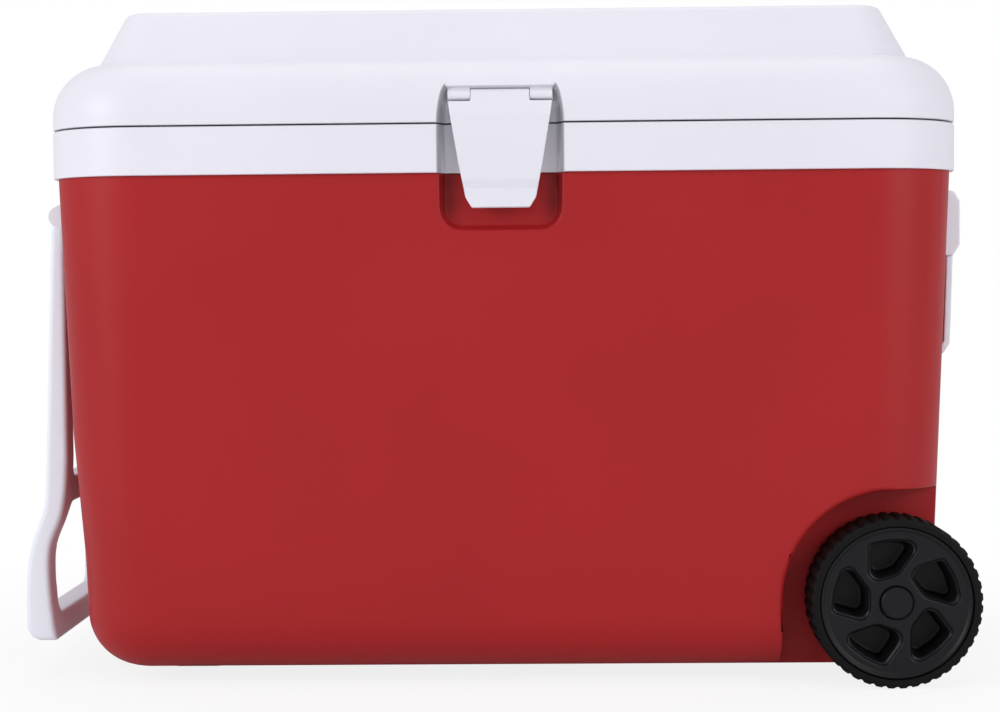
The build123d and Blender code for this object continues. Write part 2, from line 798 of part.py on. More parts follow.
with BuildPart() as latch:
    # the plate's line seen from its side: out from the knuckle, down, and a lip that turns out
    with BuildSketch(Plane.YZ):
        with BuildLine():
            FilletPolyline(
                (latch_axis_y - latch_shoulder, latch_axis_z),
                (latch_face_y, latch_axis_z - latch_crease),
                (latch_face_y + latch_lean, latch_axis_z - latch_band[0]),
                (latch_face_y + latch_band_depth, latch_axis_z - latch_band[1]),
                (latch_face_y - lip_out, latch_axis_z - latch_drop),
                radius=latch_bend_round,
            )
        trace(line_width=latch_thickness)
    extrude(amount=latch_top_width / 2, both=True)
    with BuildSketch(Plane.XZ.offset(-scoop_floor_y)) as front:
        with BuildLine():
            Polyline(
                (0, latch_axis_z + latch_thickness),
                (latch_knuckle_width / 2, latch_axis_z + latch_thickness),
                (latch_knuckle_width / 2, latch_axis_z - lug_radius - lug_gap),
                (latch_top_width / 2, latch_axis_z - lug_radius - lug_gap),
                *[(latch_top_width / 2 - across, latch_axis_z - down) for across, down in latch_waist],
                (latch_bottom_width / 2, latch_axis_z - latch_drop - latch_thickness / 2),
                (0, latch_axis_z - latch_drop - latch_thickness / 2),
            )
            mirror(about=Plane.YZ)
        make_face()
        lip_corners = front.vertices().group_by(Axis.Y)[0].filter_by(lambda v: abs(v.X) > 1)
        fillet(lip_corners, latch_lip_round)
    extrude(amount=scoop_depth + lip_out + latch_thickness, mode=Mode.INTERSECT)
    with BuildSketch(Plane.YZ):
        with Locations((latch_axis_y, latch_axis_z)):
            Circle(latch_knuckle_radius)
    extrude(amount=latch_knuckle_width / 2, both=True)
    # nose that snaps under the catch ridge
    nose_top = catch_z - catch_height - nose_gap
    nose_face = scoop_floor_y - catch_depth - running_gap
    with BuildSketch(Plane.YZ):
        with BuildLine():
            Polyline(
                (latch_face_y + latch_lean, nose_top),
                (nose_face, nose_top),
                (nose_face, nose_top - nose_height / 2),
                (latch_face_y + latch_lean, nose_top - nose_height),
                close=True,
            )
        make_face()
    extrude(amount=catch_width / 2, both=True)
    with BuildSketch(Plane.YZ):
        with Locations((latch_axis_y, latch_axis_z)):
            Circle(latch_pin_radius + pin_clearance)
    extrude(amount=latch_top_width, both=True, mode=Mode.SUBTRACT)
save("latch", latch)

with BuildPart() as latch_pin:
    with BuildSketch(Plane.YZ):
        with Locations((latch_axis_y, latch_axis_z)):
            Circle(latch_pin_radius)
    extrude(amount=latch_pin_length / 2, both=True)
save("latch_pin", latch_pin)

# ---------------------------------------------------------------- hinges

knuckle_pitch = hinge_width / hinge_knuckles


def hinge_leaves(side, first_knuckle, bore):
    """Two leaves: side is 1 for the lid's and -1 for the tub's."""
    with BuildPart() as leaves:
        with BuildSketch(back) as plates:
            with Locations(
                (-hinge_x, side * hinge_screw_up), (hinge_x, side * hinge_screw_up)
            ):
                Rectangle(hinge_width, hinge_leaf_height)
            far_corners = plates.vertices().group_by(Axis.Y)[-1 if side > 0 else 0]
            fillet(far_corners, hinge_leaf_round)
        extrude(amount=hinge_leaf)
        for hinge in (-1, 1):
            for knuckle in range(first_knuckle, hinge_knuckles, 2):
                start = hinge * hinge_x - hinge_width / 2 + knuckle * knuckle_pitch
                neck = hinge_axis_y - collar_side_y
                with BuildSketch(Plane.YZ.offset(start + running_gap / 2)):
                    with Locations((hinge_axis_y, hinge_axis_z)):
                        Circle(hinge_barrel_radius)
                    with Locations(
                        (collar_side_y + neck / 2, hinge_axis_z + side * hinge_barrel_radius / 2)
                    ):
                        Rectangle(neck, hinge_barrel_radius)
                    with Locations(
                        (collar_side_y + hinge_leaf / 2, hinge_axis_z + side * hinge_plate_start / 2)
                    ):
                        Rectangle(hinge_leaf, hinge_plate_start)
                extrude(amount=knuckle_pitch - running_gap)
        with BuildSketch(Plane.YZ):
            with Locations((hinge_axis_y, hinge_axis_z)):
                Circle(hinge_pin_radius + bore)
        extrude(amount=hinge_x + hinge_width, both=True, mode=Mode.SUBTRACT)
        screws = body_hinge_screws if side < 0 else lid_hinge_screws
        add(screw_holes(back, screws, hinge_leaf), mode=Mode.SUBTRACT)
    return leaves


save("hinge_body_leaves", hinge_leaves(-1, 0, hole_clearance))
save("hinge_lid_leaves", hinge_leaves(1, 1, pin_clearance))

with BuildPart() as hinge_pins:
    for hinge in (-1, 1):
        with BuildSketch(Plane.YZ.offset(hinge * hinge_x)):
            with Locations((hinge_axis_y, hinge_axis_z)):
                Circle(hinge_pin_radius)
        extrude(amount=hinge_width / 2, both=True)
        for end in (-1, 1):
            with BuildSketch(Plane.YZ.offset(hinge * hinge_x + end * hinge_width / 2)):
                with Locations((hinge_axis_y, hinge_axis_z)):
                    Circle(hinge_pin_radius + hinge_pin_head)
            extrude(amount=end * hinge_pin_head)
save("hinge_pins", hinge_pins)

with BuildPart() as hinge_body_screws:
    add(screw_set(back, body_hinge_screws, hinge_leaf))
save("hinge_body_screws", hinge_body_screws)

with BuildPart() as hinge_lid_screws:
    add(screw_set(back, lid_hinge_screws, hinge_leaf))
save("hinge_lid_screws", hinge_lid_screws)

# ---------------------------------------------------------------- tow handle

tow_axis_x = -(end_wall(tow_axis_z) + tow_axis_out)
tow_plate_x = -end_wall(tow_axis_z) + tow_pocket_depth


def tow_bracket(middle_y):
    """Clevis in a pocket of the end wall: a plate with two ears for the handle's pin."""
    with BuildPart() as bracket:
        with BuildSketch(left_end):
            with Locations((-middle_y, 0)):
                RectangleRounded(
                    tow_ears_width + 2 * tow_plate_margin,
                    tow_pocket_height - 2 * tow_plate_gap,
                    tow_plate_round,
                )
        extrude(amount=tow_plate)
        for side in (-1, 1):
            ear_y = middle_y + side * (tow_arm_width / 2 + running_gap + tow_ear / 2)
            with BuildSketch(Plane.XZ.offset(-ear_y)):
                with BuildLine():
                    CenterArc((tow_axis_x, tow_axis_z), tow_ear_radius, 90, 180)
                    Line(
                        (tow_plate_x, tow_axis_z - tow_ear_root),
                        (tow_plate_x, tow_axis_z + tow_ear_root),
                    )
                make_hull()
            extrude(amount=tow_ear / 2, both=True)
        with BuildSketch(Plane.XZ.offset(-middle_y)):
            with Locations((tow_axis_x, tow_axis_z)):
                Circle(tow_pin_radius + hole_clearance)
        extrude(amount=tow_pin_length / 2, both=True, mode=Mode.SUBTRACT)
        add(
            screw_holes(left_end, [(-middle_y, -tow_screw_step), (-middle_y, tow_screw_step)], tow_plate),
            mode=Mode.SUBTRACT,
        )
    return bracket


save("tow_bracket_front", tow_bracket(-tow_middle_y))
save("tow_bracket_rear", tow_bracket(tow_middle_y))

with BuildPart() as tow_bracket_screws:
    add(screw_set(left_end, tow_screws_front + tow_screws_rear, tow_plate))
save("tow_bracket_screws", tow_bracket_screws)

with BuildPart() as tow_pivot_pins:
    for middle_y in (-tow_middle_y, tow_middle_y):
        with BuildSketch(Plane.XZ.offset(-middle_y)):
            with Locations((tow_axis_x, tow_axis_z)):
                Circle(tow_pin_radius)
        extrude(amount=tow_pin_length / 2, both=True)
save("tow_pivot_pins", tow_pivot_pins)

outer = [(tow_axis_x - out, tow_grip_bottom_z + up) for out, up in tow_outer_line]
palm = [(tow_axis_x - out, tow_grip_bottom_z + up) for out, up in tow_palm_line]
inner = [(tow_axis_x - out, tow_grip_bottom_z + up) for out, up in tow_inner_line]
tow_outer_x = outer[-1][0]
with BuildPart() as tow_handle:
    # side view: slim at the pivot, thicker down the arm, then bowed out to the grip
    with BuildSketch(Plane.XZ):
        with BuildLine():
            Line((tow_axis_x - tow_eye_radius, tow_axis_z), outer[0])
            Spline(*outer, tangents=((-0.06, -1), (0, -1)))
            Line(outer[-1], (tow_outer_x, tow_grip_bottom_z + tow_grip_round))
            CenterArc(
                (tow_outer_x + tow_grip_round, tow_grip_bottom_z + tow_grip_round),
                tow_grip_round,
                180,
                90,
            )
            Line((tow_outer_x + tow_grip_round, tow_grip_bottom_z), palm[0])
            ThreePointArc(*palm)
            Spline(*inner, tangents=((0, 1), (0.05, 1)))
            Polyline(
                inner[-1],
                (tow_axis_x + tow_inner_out, tow_axis_z),
                (tow_axis_x - tow_eye_radius, tow_axis_z),
            )
        make_face()
        with Locations((tow_axis_x, tow_axis_z)):
            Circle(tow_eye_radius)
    extrude(amount=tow_half_width, both=True)
    fillet(tow_handle.faces().filter_by(Axis.Y).edges(), tow_edge_round)
    # the hand-hold below the middle bar, and the open space above it
    inside = tow_half_width - tow_arm_width
    with BuildSketch(Plane.YZ.offset(tow_axis_x + tow_eye_radius + wall)):
        with Locations((0, (tow_grip_top_z + tow_bar_bottom_z) / 2)):
            RectangleRounded(2 * inside, tow_bar_bottom_z - tow_grip_top_z, tow_corner)
        with Locations((0, (tow_bar_top_z + parting_z) / 2)):
            RectangleRounded(2 * inside, parting_z - tow_bar_top_z, tow_corner)
    extrude(amount=-far, mode=Mode.SUBTRACT)
    with BuildSketch(Plane.XZ):
        with Locations((tow_axis_x, tow_axis_z)):
            Circle(tow_pin_radius + pin_clearance)
    extrude(amount=tow_half_width, both=True, mode=Mode.SUBTRACT)
save("tow_handle", tow_handle)

# ---------------------------------------------------------------- bail handle

bail_axis_x = end_wall(bail_axis_z) + bail_axis_out


def side_bracket(middle_y):
    """Clevis screwed on the end wall: a base and two cheeks with a rounded hood outline."""
    top_x, bottom_x = end_wall(bracket_top_z), end_wall(bracket_bottom_z)
    with BuildPart() as bracket:
        with BuildSketch(Plane.XZ.offset(-middle_y)) as cheek:
            with BuildLine():
                Polyline(
                    (bottom_x, bracket_bottom_z),
                    (top_x, bracket_top_z),
                    (top_x + bracket_out - bracket_shoulder[0], bracket_top_z),
                    (bottom_x + bracket_out, bracket_top_z - bracket_shoulder[1]),
                    (bottom_x + bracket_out, bracket_bottom_z + bracket_chin),
                    (
                        bottom_x + bracket_out - bracket_heel[0],
                        bracket_bottom_z + bracket_heel[1],
                    ),
                    close=True,
                )
            make_face()
            fillet(cheek.vertices().group_by(Axis.Y)[-1].sort_by(Axis.X)[-1:], bracket_round)
        extrude(amount=bail_bracket_width / 2, both=True)
        # the cheeks' outer edges are rounded, those on the wall are not
        rims = bracket.faces().filter_by(Axis.Y).edges()
        fillet(rims.filter_by(lambda e: e.center().X > right_end.origin.X), bracket_edge_round)
        # slot between the cheeks for the bail's arm
        with BuildSketch(Plane.XZ.offset(-middle_y)):
            with Locations((right_end.origin.X + far / 2, bail_axis_z)):
                Rectangle(far, far)
        extrude(amount=bail_arm_width / 2 + running_gap, both=True, mode=Mode.SUBTRACT)
        with BuildSketch(Plane.XZ.offset(-middle_y)):
            with Locations((bail_axis_x, bail_axis_z)):
                Circle(bail_pin_radius + hole_clearance)
        extrude(amount=bail_pin_length / 2, both=True, mode=Mode.SUBTRACT)
        add(
            screw_holes(right_end, [(middle_y, -bail_screw_step), (middle_y, bail_screw_step)], 0),
            mode=Mode.SUBTRACT,
        )
    return bracket


save("side_bracket_front", side_bracket(-bail_middle_y))
save("side_bracket_rear", side_bracket(bail_middle_y))

with BuildPart() as side_bracket_screws:
    add(screw_set(right_end, bail_screws_front + bail_screws_rear, 0))
save("side_bracket_screws", side_bracket_screws)

with BuildPart() as side_pivot_pins:
    for middle_y in (-bail_middle_y, bail_middle_y):
        with BuildSketch(Plane.XZ.offset(-middle_y)):
            with Locations((bail_axis_x, bail_axis_z)):
                Circle(bail_pin_radius)
        extrude(amount=bail_pin_length / 2, both=True)
save("side_pivot_pins", side_pivot_pins)

with BuildPart() as side_handle:
    with BuildSketch(Plane.XZ):
        with BuildLine():
            FilletPolyline(
                *[(bail_axis_x + out, bail_axis_z - down) for out, down in bail_arm_line],
                *[(bail_axis_x + out, bail_bottom_z + up) for out, up in bail_grip_line],
                radius=bail_bend_round,
            )
        trace(line_width=bail_thickness)
        with Locations((bail_axis_x, bail_axis_z)):
            Circle(bail_eye_radius)
    extrude(amount=bail_middle_y + bail_arm_width / 2, both=True)
    # outline seen from the end: rounded lower corners, and a window above the grip
    bail_top_z = bail_axis_z + bail_eye_radius + bail_corner_round
    with BuildSketch(Plane.YZ):
        with Locations((0, (bail_bottom_z + bail_top_z) / 2)):
            RectangleRounded(
                2 * bail_middle_y + bail_arm_width, bail_top_z - bail_bottom_z, bail_corner_round
            )
        with Locations((0, (bail_bottom_z + bail_grip_height + parting_z) / 2)):
            RectangleRounded(
                2 * bail_middle_y - bail_arm_width,
                parting_z - bail_bottom_z - bail_grip_height,
                bail_arm_round,
                mode=Mode.SUBTRACT,
            )
    extrude(amount=far, mode=Mode.INTERSECT)
    with BuildSketch(Plane.XZ):
        with Locations((bail_axis_x, bail_axis_z)):
            Circle(bail_pin_radius + pin_clearance)
    extrude(amount=bail_half_width, both=True, mode=Mode.SUBTRACT)
save("side_handle", side_handle)

# ---------------------------------------------------------------- drain

drain_wall_x = end_wall(drain_z) - end_step
drain_face_x = -(drain_wall_x + drain_gasket_thickness)
with BuildPart() as drain_fitting:
    with BuildSketch(Plane.YZ.offset(drain_face_x)):
        with Locations((0, drain_z)):
            Circle(drain_flange)
    extrude(amount=-drain_flange_thickness)
    fillet(drain_fitting.faces().sort_by(Axis.X)[0].edges(), drain_edge_round)
    with BuildSketch(Plane.YZ.offset(drain_face_x)):
        with Locations((0, drain_z)):
            Circle(drain_tube)
    extrude(
        amount=-drain_face_x - liner_end_wall(drain_z) + drain_nut_height + drain_tube_end
    )
    with BuildSketch(Plane.YZ):
        with Locations((0, drain_z)):
            Circle(drain_bore)
    extrude(amount=-far, mode=Mode.SUBTRACT)
save("drain_fitting", drain_fitting)

with BuildPart() as drain_gasket:
    with BuildSketch(Plane.YZ.offset(drain_face_x)):
        with Locations((0, drain_z)):
            Circle(drain_flange - drain_gasket_margin)
            Circle(drain_tube + hole_clearance, mode=Mode.SUBTRACT)
    extrude(amount=drain_flange)
    add(shell_blank.part, mode=Mode.SUBTRACT)
save("drain_gasket", drain_gasket)

with BuildPart() as drain_nut:
    with BuildSketch(Plane.YZ.offset(-liner_end_wall(drain_z) + drain_nut_height)):
        with Locations((0, drain_z)):
            RegularPolygon(drain_nut_radius, 6)
            Circle(drain_tube + hole_clearance, mode=Mode.SUBTRACT)
    extrude(amount=-2 * drain_nut_height)
    add(liner_room, mode=Mode.INTERSECT)
save("drain_nut", drain_nut)

with BuildPart() as drain_plug:
    with BuildSketch(Plane.YZ.offset(drain_face_x - drain_flange_thickness)):
        with Locations((0, drain_z)):
            Circle(drain_plug_radius)
    extrude(amount=-drain_plug_height)
    fillet(drain_plug.faces().sort_by(Axis.X)[0].edges(), drain_plug_round)
    with BuildSketch(Plane.YZ.offset(drain_face_x - drain_flange_thickness)):
        with Locations((0, drain_z)):
            Circle(drain_bore - pin_clearance)
    extrude(amount=drain_plug_length)
    chamfer(drain_plug.faces().sort_by(Axis.X)[-1].edges(), drain_edge_round)
save("drain_plug", drain_plug)

# ---------------------------------------------------------------- feet

with BuildPart() as foot_pads:
    with BuildSketch():
        with Locations((foot_x, -foot_y), (foot_x, foot_y)):
            RectangleRounded(
                foot_length - 2 * foot_pad_margin,
                foot_width - 2 * foot_pad_margin,
                foot_corner - foot_pad_margin,
            )
    extrude(amount=foot_pad)
    chamfer(foot_pads.faces().group_by(Axis.Z)[0].edges(), foot_pad_edge)
save("foot_pads", foot_pads)

# ---------------------------------------------------------------- wheels

wheel_axis = Axis((wheel_x, 0, axle_z), (0, 1, 0))
wheel_side = Plane.YZ.offset(wheel_x)
face_y = -wheel_outer_y
inner_y = face_y + wheel_width
rim_radius = wheel_radius - tyre_thickness


def axle_rings(from_y, to_y):
    """A ring on each end of the axle."""
    with BuildPart() as rings:
        with BuildSketch(Plane.XZ.offset(from_y)):
            with Locations((wheel_x, axle_z)):
                Circle(axle_ring_radius)
                Circle(axle_radius + hole_clearance, mode=Mode.SUBTRACT)
        extrude(amount=to_y - from_y)
        mirror(about=Plane.XZ)
    return rings


cap_room_y = wheel_outer_y - web_inner + hub_lip      # floor of the hub's room for the nut
save("axle_washers", axle_rings(well_wall_y, well_wall_y + well_gap - running_gap))
save("axle_push_nuts", axle_rings(cap_room_y + running_gap, cap_room_y + push_nut_length))

with BuildPart() as tyre:
    with BuildSketch(wheel_side) as section:
        with Locations(((face_y + inner_y) / 2, axle_z + (rim_radius + wheel_radius) / 2)):
            Rectangle(wheel_width, tyre_thickness)
        fillet(section.vertices().group_by(Axis.Y)[-1], tyre_shoulder)
    revolve(axis=wheel_axis)
    # tread: rounded grooves across the tyre
    with BuildSketch(Plane.XZ.offset(wheel_outer_y)):
        with Locations((wheel_x, axle_z)):
            groove_middle = wheel_radius + tread_groove_radius - tread_groove_depth
            with PolarLocations(groove_middle, tread_grooves):
                Circle(tread_groove_radius)
    extrude(amount=-wheel_width, mode=Mode.SUBTRACT)


def spoke_pockets(shrink):
    """Sketch of the swirled pockets between the spokes."""
    with BuildSketch(Plane.XZ.offset(wheel_outer_y - web_outer)) as pockets:
        with Locations((wheel_x, axle_z)):
            with PolarLocations(0, spoke_count, start_angle=spoke_angle):
                Polygon(*pocket_corners, align=None)
        fillet(pockets.vertices(), pocket_round)
        if shrink:
            offset(amount=-shrink)
    return pockets.sketch


with BuildPart() as hub:
    web_front, web_back = face_y + web_outer, face_y + web_inner
    rim_front, rim_back = face_y + hub_lip, inner_y - hub_lip
    rim_z = axle_z + rim_radius
    bore_z = axle_z + axle_radius + pin_clearance
    cap_seat_z = axle_z + cap_radius + hole_clearance
    with BuildSketch(wheel_side):
        with BuildLine():
            Polyline(
                (inner_y, bore_z),
                (inner_y, axle_z + boss_radius),
                (web_back, axle_z + boss_radius),
                (web_back, rim_z - rim_lip - rim_bevel),
                (rim_back, rim_z - rim_wall),
                (rim_back, rim_z),
                (rim_front, rim_z),
                (rim_front, rim_z - rim_lip),
                (web_front, rim_z - rim_lip - rim_bevel),
                (web_front, cap_seat_z),
                (web_back - hub_lip, cap_seat_z),
                (web_back - hub_lip, bore_z),
                close=True,
            )
        make_face()
    revolve(axis=wheel_axis)
    # swirled pockets in two steps
    extrude(spoke_pockets(0), amount=-pocket_depth / 2, taper=pocket_taper, mode=Mode.SUBTRACT)
    extrude(spoke_pockets(pocket_step), amount=-pocket_depth, mode=Mode.SUBTRACT)

with BuildPart() as hub_cap:
    axle_cover_y = -axle_end_y - running_gap
    cap_face_y = face_y + running_gap
    with BuildSketch(wheel_side):
        with BuildLine():
            Polyline(
                (axle_cover_y, axle_z),
                (axle_cover_y, axle_z + cap_radius),
                (cap_face_y + cap_bevel, axle_z + cap_radius),
                (cap_face_y, axle_z + cap_radius - cap_bevel),
                (cap_face_y, axle_z),
                close=True,
            )
        make_face()
    revolve(axis=wheel_axis)


def both_wheels(name, piece):
    """The front wheel's piece, and its mirror image for the rear wheel."""
    save(f"wheel_front_{name}", piece)
    with BuildPart() as rear:
        add(mirror(piece.part, about=Plane.XZ, mode=Mode.PRIVATE))
    save(f"wheel_rear_{name}", rear)


both_wheels("tyre", tyre)
both_wheels("hub", hub)
both_wheels("cap", hub_cap)
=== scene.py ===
from math import pi, radians, tan

import bmesh
import bpy
from mathutils import Matrix, Vector


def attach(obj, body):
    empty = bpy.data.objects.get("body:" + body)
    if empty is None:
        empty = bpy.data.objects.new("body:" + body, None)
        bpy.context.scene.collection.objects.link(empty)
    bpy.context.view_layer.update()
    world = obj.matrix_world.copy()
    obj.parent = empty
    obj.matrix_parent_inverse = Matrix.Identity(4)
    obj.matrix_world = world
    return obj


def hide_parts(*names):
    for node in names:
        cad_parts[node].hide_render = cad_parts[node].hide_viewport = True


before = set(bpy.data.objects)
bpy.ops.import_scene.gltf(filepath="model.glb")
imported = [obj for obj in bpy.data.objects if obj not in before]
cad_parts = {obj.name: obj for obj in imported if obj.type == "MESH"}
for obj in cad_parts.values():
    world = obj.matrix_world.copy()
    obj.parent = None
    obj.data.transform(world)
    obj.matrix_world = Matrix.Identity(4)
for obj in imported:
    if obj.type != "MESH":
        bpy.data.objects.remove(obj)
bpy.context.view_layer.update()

# ------------------------------------------------------------------ view
# A long lens looks along the box's depth, from 1.7 m in front of its middle and 0.3 m
# above the floor. It is turned by one degree, tipped down by two and rolled by a half.

picture_width, focal_length = 1000, 2149.7  # pixels
sensor_width = 36                           # millimetres
eye = (0.0372, -1.742, 0.2994)
turned, tipped, rolled = 1.21, 2.03, -0.52  # degrees

camera_data = bpy.data.cameras.new("view")
camera_data.sensor_width = sensor_width
camera_data.lens = sensor_width * focal_length / picture_width
camera_data.clip_end = 60
camera = bpy.data.objects.new("view", camera_data)
bpy.context.scene.collection.objects.link(camera)
camera.matrix_world = (
    Matrix.Translation(eye)
    @ Matrix.Rotation(radians(turned), 4, "Z")
    @ Matrix.Rotation(radians(90 - tipped), 4, "X")
    @ Matrix.Rotation(radians(rolled), 4, "Z")
)
bpy.context.scene.camera = camera
bpy.context.scene.view_settings.view_transform = "Standard"

# ------------------------------------------------------------------ outer shell
# The red tub is polypropylene, moulded in one piece with its wheel wells, the latch
# scoop and two feet. Its skin is satin, with a fine grain and a slight orange peel,
# and shade is painted darker on the scoop's side walls.

red_colour = (0.350, 0.0125, 0.0145)
box_middle = 0.006              # along the box, whose two handles set it off the origin
collar_face = -0.192
parting_height = 0.412          # where the lid meets the collar

# the latch's scoop, and the heights between which the shade painted on its walls fades in and out
scoop_half_width = 0.0464       # at the collar's face
scoop_depth = 0.013
scoop_slope = 0.445             # its side walls draw in by this much of their depth
scoop_bend = 4.98               # and, in the lid, by this much of their rise squared
scoop_shade_foot = (0.340, 0.357)
scoop_shade_head = (0.4405, 0.4415)

# the handle end, which draws in between two heights, and the round of its corners
draft = radians(2.4)
shell_top = 0.408
draw_top, draw_low = 0.186, 0.0975
corner_x, corner_y, corner_radius = -0.2626, 0.1236, 0.066
end_wall_x = -0.257
skin_depth = 0.009              # takes in the wall's thickness and its step
rim_margin = 0.0001             # points nearer to the two heights are kept

# edges that are rounded: two corners of the box that holds them, and the radius
scoop_edges = ((-0.06, -0.2, 0.325), (0.072, -0.17, 0.4), 0.0012)
front_arch_edges = ((0.19, -0.2, 0.012), (0.33, -0.150, 0.16), 0.0018)
rear_arch_edges = ((0.19, 0.150, 0.012), (0.33, 0.2, 0.16), 0.0018)

merge_distance = 0.00001
flat_angle = radians(0.3)       # faces that turn from each other by less are joined
rounded_angle = radians(20)     # edges that turn by more are rounded
sharp_angle = radians(28)       # edges that still turn by more are shown sharp


class Value:
    """An output socket. Sums, differences and products of values add Math nodes."""

    def __init__(self, tree, socket):
        self.tree = tree
        self.socket = socket

    def node(self, kind, settings, inputs, output=0):
        """Adds a node: its settings are set first, then its sockets' values or links."""
        added = self.tree.nodes.new("ShaderNode" + kind)
        for name, setting in settings.items():
            setattr(added, name, setting)
        for name, value in inputs.items():
            if isinstance(value, Value):
                self.tree.links.new(value.socket, added.inputs[name])
            else:
                added.inputs[name].default_value = value
        return Value(self.tree, added.outputs[output])

    def maths(self, operation, first, second):
        """Adds a Math node."""
        return self.node("Math", {"operation": operation}, {0: first, 1: second})

    def __add__(self, other):
        return self.maths("ADD", self, other)

    def __sub__(self, other):
        return self.maths("SUBTRACT", self, other)

    def __rsub__(self, other):
        return self.maths("SUBTRACT", other, self)

    def __mul__(self, other):
        return self.maths("MULTIPLY", self, other)

    __radd__ = __add__
    __rmul__ = __mul__


def start_finish(name):
    """A new material, its object coordinates and its shader."""
    material = bpy.data.materials.new(name)
    material.use_nodes = True
    tree = material.node_tree
    shader = tree.nodes["Principled BSDF"]
    place = Value(tree, tree.nodes.new("ShaderNodeTexCoord").outputs["Object"])
    return material, place, shader


def feed(shader, name, value):
    """Links a value to one of a shader's sockets."""
    value.tree.links.new(value.socket, shader.inputs[name])


def blend_colours(factor, first, second):
    """Colour between two colours, each typed in or a value, by a factor."""
    first, second = (
        colour if isinstance(colour, Value) else (*colour, 1) for colour in (first, second)
    )
    return factor.node("Mix", {"data_type": "RGBA"}, {0: factor, 6: first, 7: second}, output=2)


def noise(place, scale, detail=2.0, roughness=0.5, stretch=None):
    """Noise on a coordinate, with the scale in cells per metre."""
    if stretch:
        place = place.node("Mapping", {}, {"Vector": place, "Scale": stretch})
    return place.node(
        "TexNoise", {}, {"Vector": place, "Scale": scale, "Detail": detail, "Roughness": roughness}
    )


def span(value, low, high, to_low=0.0, to_high=1.0):
    """Maps a value's stretch onto another, smoothly and within its ends."""
    return value.node(
        "MapRange",
        {"interpolation_type": "SMOOTHSTEP"},
        {"Value": value, 1: low, 2: high, 3: to_low, 4: to_high},
    )


def bump(height, strength, distance):
    """Normals that a height leaves on a surface."""
    return height.node("Bump", {}, {"Strength": strength, "Distance": distance, "Height": height})


def scoop_shade_mask(place, spread, floor_share):
    """Where shade is painted: one half way in on the scoop's side walls, a share of it where they
    meet its floor.
    """
    x, y, z = (place.node("SeparateXYZ", {}, {"Vector": place}, output=axis) for axis in range(3))
    across = x.maths("ABSOLUTE", x - box_middle, 0)
    depth = y - collar_face
    rise = z.maths("MAXIMUM", z - parting_height, 0)
    from_middle = across + depth * scoop_slope + rise * rise * scoop_bend
    up_to_wall = span(from_middle, scoop_half_width - spread, scoop_half_width - 0.0004)
    past_wall = span(from_middle, scoop_half_width + 0.0002, scoop_half_width + 0.0006)
    in_height = span(z, *scoop_shade_foot) - span(z, *scoop_shade_head)
    before_floor = span(depth, scoop_depth + 0.0004, scoop_depth + 0.0012, 1.0, 0.0)
    in_depth = span(depth, 0.0, 0.003) * before_floor
    near_floor = span(depth, 0.005, 0.012, 1.0, floor_share)
    return (up_to_wall - past_wall) * in_height * in_depth * near_floor


def moulded_plastic(
    name, colour, shine=0.42, grain=1.0, peel=1.0, cloud=0.03, scoop_shade=0.0, spread=0.002,
    floor_share=0.1,
):
    """Moulded plastic: cloudy colour, orange peel, a fine grain and hairline scuffs.

    Painted shade takes a share of the colour off the scoop's side walls, where shade falls.
    It fades out over a spread of the scoop's floor, where it has only a share of its strength.
    """
    material, place, shader = start_finish(name)
    clouds = noise(place, 7, 3)
    specks = noise(place, 900, 1)
    scratches = span(noise(place, 60, 4, 0.7, stretch=(0.5, 0.5, 9)), 0.62, 0.72)
    handling = span(noise(place, 16, 4, 0.65), 0.52, 0.75)
    wear = scratches * handling
    tone = clouds * 0.7 + specks * 0.3
    deep = [channel * (1 - cloud) for channel in colour]
    light = [min(channel * (1 + cloud), 1) for channel in colour]
    skin = blend_colours(span(tone, 0.35, 0.65), deep, light)
    # painted shade: the colour is darkened on the scoop's side walls, where the scoop shades
    # itself
    if scoop_shade:
        scoop_shaded_colour = [channel * (1 - scoop_shade) for channel in colour]
        skin = blend_colours(scoop_shade_mask(place, spread, floor_share), skin, scoop_shaded_colour)
    feed(shader, "Base Color", skin)
    feed(shader, "Roughness", span(clouds, 0.3, 0.7, shine - 0.03, shine + 0.04) + wear * 0.12)
    height = noise(place, 330, 2) * (0.6 * peel) + noise(place, 1900, 1) * (0.25 * grain)
    feed(shader, "Normal", bump(height - wear * 0.2, 0.12, 0.0006))
    shader.inputs["Specular IOR Level"].default_value = 0.22
    return material


def dress(material, *nodes):
    """Gives a material to CAD nodes."""
    for name in nodes:
        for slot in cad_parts[name].material_slots:
            slot.link = "OBJECT"
            slot.material = material


def merged(name):
    """A merged copy of a CAD node's mesh, ready to be worked."""
    shape = bmesh.new()
    shape.from_mesh(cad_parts[name].data)
    bmesh.ops.remove_doubles(shape, verts=shape.verts, dist=merge_distance)
    bmesh.ops.dissolve_limit(
        shape, angle_limit=flat_angle, verts=shape.verts, edges=shape.edges
    )
    return shape


